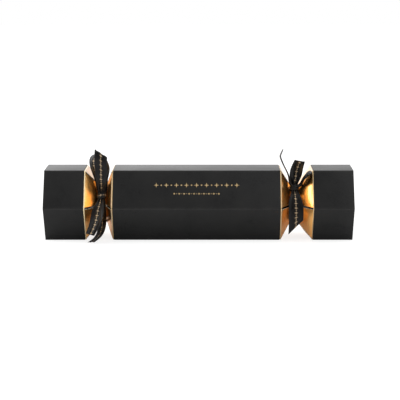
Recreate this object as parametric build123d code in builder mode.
"""A hexagonal gift cracker: a card barrel and two card ends, joined by foil necks tied with ribbon.

Millimetres. +X runs along the cracker, -Y is its front and +Z is up. The origin is the middle of the
barrel's underside, on the table. The cracker's own axis lies half the hexagon's height above the table.
"""

import os
from math import atan2, cos, degrees, hypot, radians, sin

from build123d import *

# Hexagon and lengths along the cracker
across_flats = 72.0
barrel_length = 171.0
end_length = 41.5
# Each neck runs from the barrel's rim to its tied waist, and on from the waist to the end's rim
left_barrel_run = 9.0
right_barrel_run = 13.5
end_run = 19.0
waist_across_flats = 28.0
# Card: black outer sleeves over a gold liner that shows as a thin line at every neck rim
sleeve_card = 0.6
liner_card = 0.5
rim_show = 0.9
mouth_recess = 1.0
# Neck flaps: die-cut slits between neighbours, and the open creases at the rim and the waist
flap_slit = 2.0
crease_gap = 0.1
waist_gap = 0.4
# Ribbon
ribbon_width = 15.0
ribbon_thickness = 0.4
gathered_width = 6.5
wrap_depth = 3.0
wrap_clearance = 0.9
wrap_least_width = 1.2
knot_width = 9.0
knot_height = 7.5
knot_depth = 6.4
knot_round = 2.4
knot_clearance = 0.25
left_knot_angle = 24.0
right_knot_angle = 44.0
left_knot_shift = -2.0
right_knot_shift = 0.6
# Share of its run by which a gathered ribbon has opened to its full width
loop_opens_by = 0.25
tail_opens_by = 0.5
# Snap: two card strips with a striking patch each, drawn through a paper band
snap_width = 7.0
snap_card = 0.6
snap_drop = 3.0
snap_overlap = 40.0
snap_glue_gap = 0.1
snap_corner = 6.0
snap_mouth_margin = 6.0
patch_length = 12.0
patch_width = 5.0
patch_thickness = 0.15
patch_gap = 0.1
band_length = 20.0
band_paper = 0.3
band_clearance = 0.3
# Candle tin, lying on its side under the snap, with its lid towards +X
tin_headroom = 1.0
tin_length = 38.0
tin_wall = 0.5
tin_margin = 22.5
lid_skirt = 9.0
lid_clearance = 0.1
lid_wall = 0.5
rest_gap = 0.2
wax_depth = 27.0
wick_diameter = 1.6
wick_showing = 6.0
wick_tab_diameter = 12.0
wick_tab_thickness = 0.4
# Paper crown, folded flat, and the motto slip, rolled and laid on the crown
crown_length = 66.0
crown_width = 30.0
crown_thickness = 2.6
crown_points = 3
crown_point_height = 12.0
crown_margin = 15.5
motto_length = 46.0
motto_diameter = 9.0
motto_wall = 0.9
motto_margin = 8.0

# Sizes that follow from the ones above
corner_angle = 30.0
half_turn = 180.0
axis_height = across_flats / 2
liner_apothem = axis_height - sleeve_card
inner_apothem = liner_apothem - liner_card
crease_apothem = liner_apothem - liner_card / 2
waist_apothem = waist_across_flats / 2
barrel_half = barrel_length / 2
floor_height = axis_height - inner_apothem
snap_height = waist_apothem - snap_drop
strip_pitch = snap_card + 2 * patch_thickness + patch_gap
band_middle = snap_height - strip_pitch / 2
band_inside = (snap_width + 2 * band_clearance, snap_card + strip_pitch + 2 * band_clearance)
band_outside = (band_inside[0] + 2 * band_paper, band_inside[1] + 2 * band_paper)
band_underside = axis_height + band_middle - band_outside[1] / 2
lid_diameter = band_underside - tin_headroom - floor_height - rest_gap
tin_diameter = lid_diameter - 2 * (lid_clearance + lid_wall)
tin_height = floor_height + rest_gap + lid_diameter / 2
crown_start = barrel_half - crown_margin - crown_length

# Outward direction of each panel, as an angle from +Y towards +Z: the top one, then round by the back
panel_names = ["top", "back_upper", "back_lower", "bottom", "front_lower", "front_upper"]
panels = {name: half_turn / 2 - count * 2 * corner_angle for count, name in enumerate(panel_names)}


class Neck:
    """Where one neck stands. side is -1 for the left neck and +1 for the right one."""

    def __init__(self, name, side, barrel_run, knot_angle, knot_shift):
        self.name = name
        self.side = side
        self.barrel_run = barrel_run
        self.barrel_rim = side * barrel_half
        self.waist = side * (barrel_half + barrel_run)
        self.end_rim = self.waist + side * end_run
        self.mouth = self.end_rim + side * end_length
        self.knot_angle = knot_angle
        self.knot_shift = knot_shift


necks = [
    Neck("left", -1, left_barrel_run, left_knot_angle, left_knot_shift),
    Neck("right", 1, right_barrel_run, right_knot_angle, right_knot_shift),
]


def keep(piece, name):
    """Labels a finished piece and writes it."""
    piece.label = name
    export_step(piece, f"parts/{name}.step")


def circumradius(apothem):
    """Distance from the middle of a hexagon to its corners."""
    return apothem / cos(radians(corner_angle))


def cross_plane(x):
    """The upright plane across the cracker at x, centred on its axis."""
    return Plane(origin=(x, 0, axis_height), x_dir=(0, 1, 0), z_dir=(1, 0, 0))


def hexagon_tube(start, stop, outside, wall):
    """A card tube of hexagonal section between two places on the axis."""
    with BuildPart() as tube:
        with BuildSketch(cross_plane(min(start, stop))):
            RegularPolygon(circumradius(outside), 6)
            RegularPolygon(circumradius(outside - wall), 6, mode=Mode.SUBTRACT)
        extrude(amount=abs(stop - start))
    return tube.part


def panel_normal(angle):
    return Vector(0, cos(radians(angle)), sin(radians(angle)))


def panel_tangent(angle):
    """Direction along a panel's edge, a quarter turn on from its outward direction."""
    return Vector(0, -sin(radians(angle)), cos(radians(angle)))


def flap_line(rim, waist, toward):
    """Hinge point, tip and slope of a flap, as distances along the axis and out from it."""
    hinge = (rim + toward * (liner_card / 2 + crease_gap), crease_apothem)
    tip = (waist - toward * (liner_card + waist_gap) / 2, waist_apothem)
    slope = atan2(hinge[1] - tip[1], abs(tip[0] - hinge[0]))
    return hinge, tip, slope


def neck_flap(rim, waist, toward, angle):
    """One creased flap of the liner, from its hinge at a rim down to the tied waist.

    Both edges are rounded about the card's own middle, so the flap turns in its crease without rubbing.
    """
    hinge, tip, slope = flap_line(rim, waist, toward)
    along_and_out = Plane((0, 0, axis_height), x_dir=(1, 0, 0), z_dir=panel_tangent(angle))
    middle = ((hinge[0] + tip[0]) / 2, (hinge[1] + tip[1]) / 2)
    reach = hypot(tip[0] - hinge[0], tip[1] - hinge[1])
    with BuildPart() as flap:
        with BuildSketch(along_and_out):
            with Locations(middle):
                SlotCenterToCenter(reach, liner_card, rotation=-toward * degrees(slope))
        extrude(amount=circumradius(liner_apothem) / 2, both=True)
        for turn in (1, -1):
            away = panel_tangent(angle + turn * corner_angle) * turn
            slit_face = Vector(0, 0, axis_height) - away * (flap_slit / 2)
            split(bisect_by=Plane(slit_face, z_dir=away), keep=Keep.BOTTOM)
    return flap.part


def groove_room(neck, radius):
    """Free distance from the waist towards the barrel and towards the end, at a radius in the groove."""
    lowest = circumradius(waist_apothem)
    share = (radius - lowest) / (circumradius(crease_apothem) - lowest)
    return neck.barrel_run * share - wrap_clearance, end_run * share - wrap_clearance


def wrap_inside(neck):
    """Radius at which a neck's groove first has room for the gathered ribbon."""
    lowest = circumradius(waist_apothem)
    widening = (neck.barrel_run + end_run) / (circumradius(crease_apothem) - lowest)
    nearest = (wrap_least_width + 2 * wrap_clearance) / widening
    steepest = wrap_clearance * (circumradius(crease_apothem) - lowest) / neck.barrel_run
    return lowest + max(nearest, steepest)


def wrap_outside(neck):
    return wrap_inside(neck) + wrap_depth


def ribbon_wrap(neck):
    """The ribbon drawn tight round the waist: a ring that fills the bottom of the groove."""
    corners = []
    for radius in (wrap_inside(neck), wrap_outside(neck)):
        to_barrel, to_end = groove_room(neck, radius)
        corners.append((neck.waist - neck.side * to_barrel, radius))
        corners.append((neck.waist + neck.side * to_end, radius))
    inner_barrel, inner_end, outer_barrel, outer_end = corners
    with BuildPart() as ring:
        with BuildSketch(Plane((0, 0, axis_height), x_dir=(1, 0, 0), z_dir=(0, -1, 0))):
            Polygon(inner_barrel, inner_end, outer_end, outer_barrel, align=None)
        revolve(axis=Axis((0, 0, axis_height), (1, 0, 0)))
    return ring.part


def knot_place(neck):
    """Middle of a knot, and the direction it faces, on the front of the wrap."""
    facing = panel_normal(half_turn - neck.knot_angle)
    radius = wrap_outside(neck) + knot_clearance + knot_depth / 2
    return Vector(neck.waist + neck.knot_shift, 0, axis_height) + facing * radius, facing


def ribbon_knot(neck):
    place, facing = knot_place(neck)
    with BuildPart(Plane(place, x_dir=(1, 0, 0), z_dir=facing)) as knot:
        Box(knot_width, knot_height, knot_depth)
        fillet(knot.edges(), knot_round)
    return knot.part


def ribbon_run(neck, route, across, opens_by, returns=False, cut=None):
    """A run of ribbon from a knot, through points given as offsets from the knot's middle.

    across gives the direction of the ribbon's width at the knot, half-way along the route and at its end.
    The ribbon leaves the knot gathered and is full width by opens_by, a share of the route. A loop returns
    to the knot and is gathered there too. cut is the direction of a slanting cut across a tail's end.
    """
    knot, _ = knot_place(neck)
    sides = ([], [])
    for count, point in enumerate(route):
        share = count / (len(route) - 1)
        opening = min(1.0, (min(share, 1 - share) if returns else share) / opens_by)
        way = blend_three(across, opening / 2 if returns else share).normalized()
        width = gathered_width + (ribbon_width - gathered_width) * opening
        if cut and point is route[-1]:
            slanting = Vector(*cut).normalized()
            width = width / abs(slanting.dot(way))
            way = slanting
        sides[0].append(knot + Vector(*point) - way * (width / 2))
        sides[1].append(knot + Vector(*point) + way * (width / 2))
    web = Face.make_surface_from_curves(Edge.make_spline(sides[0]), Edge.make_spline(sides[1]))
    with BuildPart() as run:
        thicken(web, amount=ribbon_thickness / 2, both=True)
    return run.part


def blend_three(values, share):
    """A direction between three: at the start, the middle and the far end of a route."""
    first, middle, last = [Vector(*value) for value in values]
    if share < 0.5:
        return first + (middle - first) * (share * 2)
    return middle + (last - middle) * (share * 2 - 1)


def snap_strip(neck, level):
    """One card strip of the snap, from past the barrel's middle out to the end's top panel."""
    inner_end = -neck.side * snap_overlap / 2
    glued = inner_apothem - snap_card / 2 - snap_glue_gap
    bend = neck.waist + neck.side * snap_corner
    route = [
        (inner_end, level),
        (bend, level),
        (neck.end_rim + neck.side * snap_corner, glued),
        (neck.mouth - neck.side * snap_mouth_margin, glued),
    ]
    with BuildPart() as strip:
        with BuildSketch(Plane((0, 0, axis_height), x_dir=(1, 0, 0), z_dir=(0, -1, 0))):
            with BuildLine():
                FilletPolyline(*route, radius=snap_corner)
            trace(line_width=snap_card)
        extrude(amount=snap_width / 2, both=True)
    return strip.part


def flat_block(centre, size):
    with BuildPart() as block:
        with Locations(centre):
            Box(*size)
    return block.part


def round_bar(start, length, diameter, height, bore=0.0):
    """A round bar or tube lying along the cracker, with its middle at a height above the table."""
    with BuildPart() as bar:
        with BuildSketch(Plane((start, 0, height), x_dir=(0, 1, 0), z_dir=(1, 0, 0))):
            Circle(diameter / 2)
            if bore:
                Circle(bore / 2, mode=Mode.SUBTRACT)
        extrude(amount=length)
    return bar.part


def round_cup(start, length, diameter, wall, height, opens):
    """A drawn tin cup lying along the cracker, closed at its start and open along X, +1 or -1."""
    with BuildPart() as cup:
        with BuildSketch(Plane((start, 0, height), x_dir=(0, opens, 0), z_dir=(opens, 0, 0))):
            Circle(diameter / 2)
        extrude(amount=length)
        mouth = cup.faces().sort_by(Axis.X)[-1 if opens > 0 else 0]
        offset(amount=-wall, openings=mouth)
    return cup.part


def folded_crown():
    """The paper hat folded to a flat pack, with its points at one end."""
    step = crown_width / crown_points
    outline = [(crown_start, -crown_width / 2)]
    for point in range(crown_points):
        left = -crown_width / 2 + point * step
        outline.append((crown_start + crown_length - crown_point_height, left))
        outline.append((crown_start + crown_length, left + step / 2))
    outline.append((crown_start + crown_length - crown_point_height, crown_width / 2))
    outline.append((crown_start, crown_width / 2))
    with BuildPart() as crown:
        with BuildSketch(Plane.XY.offset(floor_height + rest_gap)):
            Polygon(*outline, align=None)
        extrude(amount=crown_thickness)
    return crown.part


# Routes of the ribbons: offsets from each knot's middle, to the right, to the back and up
level = (1.0, 0.0, 0.0)
left_front_loop = [
    (0.0, 0.2, 4.4),
    (-0.3, -3.2, 16.0),
    (-0.5, -3.6, 30.0),
    (-0.6, -3.2, 40.0),
    (-0.6, -1.9, 42.3),
    (-0.6, -0.7, 40.0),
    (-0.5, -0.4, 30.0),
    (-0.3, -0.2, 16.0),
    (0.0, 1.3, 3.9),
]
left_front_loop_across = (level, (0.83, 0.0, -0.56), level)
left_back_loop = [
    (-1.2, 2.5, 3.4),
    (-3.4, 6.0, 17.0),
    (-8.6, 8.8, 31.0),
    (-7.2, 9.4, 38.2),
    (-2.8, 9.6, 41.6),
    (1.8, 9.4, 37.8),
    (3.6, 9.0, 30.0),
    (1.4, 6.6, 17.0),
    (1.2, 3.6, 2.9),
]
left_back_loop_across = (level, (0.64, -0.77, 0.0), level)
left_front_tail = [(-0.8, -2.8, -3.3), (-3.0, -10.5, -12.0), (-5.4, -15.0, -24.0), (-11.0, -15.0, -37.5)]
left_front_tail_across = (level, (0.85, -0.5, 0.0), (0.6, -0.78, 0.0))
left_back_tail = [
    (0.6, -1.3, -4.1),
    (0.6, -4.6, -12.0),
    (0.6, -5.2, -23.5),
    (0.0, -7.6, -32.0),
    (-3.4, -12.0, -40.0),
    (-9.6, -16.4, -45.0),
]
left_back_tail_across = ((0.8, 0.6, 0.0), (0.5, 0.85, 0.0), (0.62, 0.78, 0.08))
right_inner_loop = [
    (-4.6, 0.8, 4.4),
    (-6.9, 1.2, 11.6),
    (-10.0, 1.8, 20.6),
    (-13.9, 2.6, 28.8),
    (-15.2, 2.8, 33.6),
    (-13.4, 2.8, 38.8),
    (-12.3, 2.8, 39.8),
    (-12.0, 2.8, 38.6),
    (-14.0, 2.8, 33.4),
    (-12.7, 2.6, 28.4),
    (-8.8, 1.8, 20.2),
    (-5.8, 1.2, 11.2),
    (-3.6, 0.8, 4.9),
]
edge_on = (0.0, 0.987, -0.16)
right_inner_loop_across = (edge_on, edge_on, edge_on)
right_outer_loop = [
    (4.9, -0.4, 3.4),
    (8.4, -5.4, 11.2),
    (12.4, -7.4, 16.8),
    (15.7, -7.8, 18.7),
    (17.0, -7.8, 18.2),
    (16.5, -7.8, 17.0),
    (13.4, -7.0, 14.4),
    (9.4, -5.0, 8.8),
    (5.8, -0.4, 2.2),
]
deep = (0.0, 1.0, 0.0)
right_outer_loop_across = (deep, deep, deep)
right_up_tail = [(0.4, 2.4, 3.4), (1.2, 1.8, 11.3), (2.7, 1.5, 19.5), (5.8, 1.5, 28.0)]
right_up_tail_across = (level, (0.9, 0.4, -0.1), (0.72, 0.65, -0.22))
right_down_tail = [(0.2, -3.6, -2.3), (0.8, -8.4, -8.6), (1.5, -12.4, -21.0), (1.2, -14.0, -38.0)]
right_down_tail_across = (level, level, level)
right_down_tail_cut = (0.71, 0.0, 0.70)


os.makedirs("parts", exist_ok=True)

# Black card sleeves: the barrel stops short of both rims, an end stops short of its neck rim only
sleeve_half = barrel_half - rim_show
keep(hexagon_tube(-sleeve_half, sleeve_half, axis_height, sleeve_card), "barrel_sleeve")
for neck in necks:
    sleeve_start = neck.end_rim + neck.side * rim_show
    keep(hexagon_tube(sleeve_start, neck.mouth, axis_height, sleeve_card), f"{neck.name}_end_sleeve")

# Gold card liners
keep(hexagon_tube(-barrel_half, barrel_half, liner_apothem, liner_card), "barrel_liner")
for neck in necks:
    liner_stop = neck.mouth - neck.side * mouth_recess
    keep(hexagon_tube(neck.end_rim, liner_stop, liner_apothem, liner_card), f"{neck.name}_end_liner")

# Neck flaps: a ring of six on the barrel's rim and a ring of six on the end's rim
for neck in necks:
    for panel, angle in panels.items():
        barrel_flap = neck_flap(neck.barrel_rim, neck.waist, neck.side, angle)
        keep(barrel_flap, f"{neck.name}_barrel_flap_{panel}")
        end_flap = neck_flap(neck.end_rim, neck.waist, -neck.side, angle)
        keep(end_flap, f"{neck.name}_end_flap_{panel}")

# Ribbons: wrap, knot, two loops and two tails at each neck
for neck in necks:
    keep(ribbon_wrap(neck), f"{neck.name}_ribbon_wrap")
    keep(ribbon_knot(neck), f"{neck.name}_ribbon_knot")

left, right = necks
keep(
    ribbon_run(left, left_front_loop, left_front_loop_across, loop_opens_by, returns=True),
    "left_ribbon_front_loop",
)
keep(
    ribbon_run(left, left_back_loop, left_back_loop_across, loop_opens_by, returns=True),
    "left_ribbon_back_loop",
)
keep(ribbon_run(left, left_front_tail, left_front_tail_across, tail_opens_by), "left_ribbon_front_tail")
keep(ribbon_run(left, left_back_tail, left_back_tail_across, tail_opens_by), "left_ribbon_back_tail")
keep(
    ribbon_run(right, right_inner_loop, right_inner_loop_across, loop_opens_by, returns=True),
    "right_ribbon_inner_loop",
)
keep(
    ribbon_run(right, right_outer_loop, right_outer_loop_across, loop_opens_by, returns=True),
    "right_ribbon_outer_loop",
)
keep(ribbon_run(right, right_up_tail, right_up_tail_across, tail_opens_by), "right_ribbon_up_tail")
keep(
    ribbon_run(right, right_down_tail, right_down_tail_across, tail_opens_by, cut=right_down_tail_cut),
    "right_ribbon_down_tail",
)

# Snap: the left strip lies below the right one, and their striking patches face each other in the middle
lower_level = snap_height - strip_pitch
keep(snap_strip(left, lower_level), "left_snap_strip")
keep(snap_strip(right, snap_height), "right_snap_strip")
patch_size = (patch_length, patch_width, patch_thickness)
lower_patch_height = axis_height + lower_level + (snap_card + patch_thickness) / 2
upper_patch_height = axis_height + snap_height - (snap_card + patch_thickness) / 2
keep(flat_block((0, 0, lower_patch_height), patch_size), "left_snap_patch")
keep(flat_block((0, 0, upper_patch_height), patch_size), "right_snap_patch")
with BuildPart() as snap_band:
    with BuildSketch(cross_plane(-band_length / 2)):
        with Locations((0, band_middle)):
            Rectangle(*band_outside)
            Rectangle(*band_inside, mode=Mode.SUBTRACT)
    extrude(amount=band_length)
keep(snap_band.part, "snap_band")

# Candle tin: base, wax, wick and wick tab, and a lid that pulls off towards +X
tin_start = -barrel_half + tin_margin
tin_mouth = tin_start + tin_length
keep(round_cup(tin_start, tin_length, tin_diameter, tin_wall, tin_height, 1), "tin_base")
lid_top = tin_mouth + lid_clearance + lid_wall
keep(round_cup(lid_top, lid_skirt, lid_diameter, lid_wall, tin_height, -1), "tin_lid")
tab_start = tin_start + tin_wall
wax_start = tab_start + wick_tab_thickness
keep(round_bar(tab_start, wick_tab_thickness, wick_tab_diameter, tin_height), "wick_tab")
keep(round_bar(wax_start, wax_depth + wick_showing, wick_diameter, tin_height), "wick")
wax_diameter = tin_diameter - 2 * tin_wall
keep(round_bar(wax_start, wax_depth, wax_diameter, tin_height, wick_diameter), "candle_wax")

# Paper crown and motto
keep(folded_crown(), "paper_crown")
motto_height = floor_height + 2 * rest_gap + crown_thickness + motto_diameter / 2
motto_bore = motto_diameter - 2 * motto_wall
motto_start = crown_start + motto_margin
keep(round_bar(motto_start, motto_length, motto_diameter, motto_height, motto_bore), "motto_slip")

for neck in necks:
    barrel_slope = flap_line(neck.barrel_rim, neck.waist, neck.side)[2]
    print(f"{neck.name} barrel flaps open through {degrees(barrel_slope):.3f} degrees")
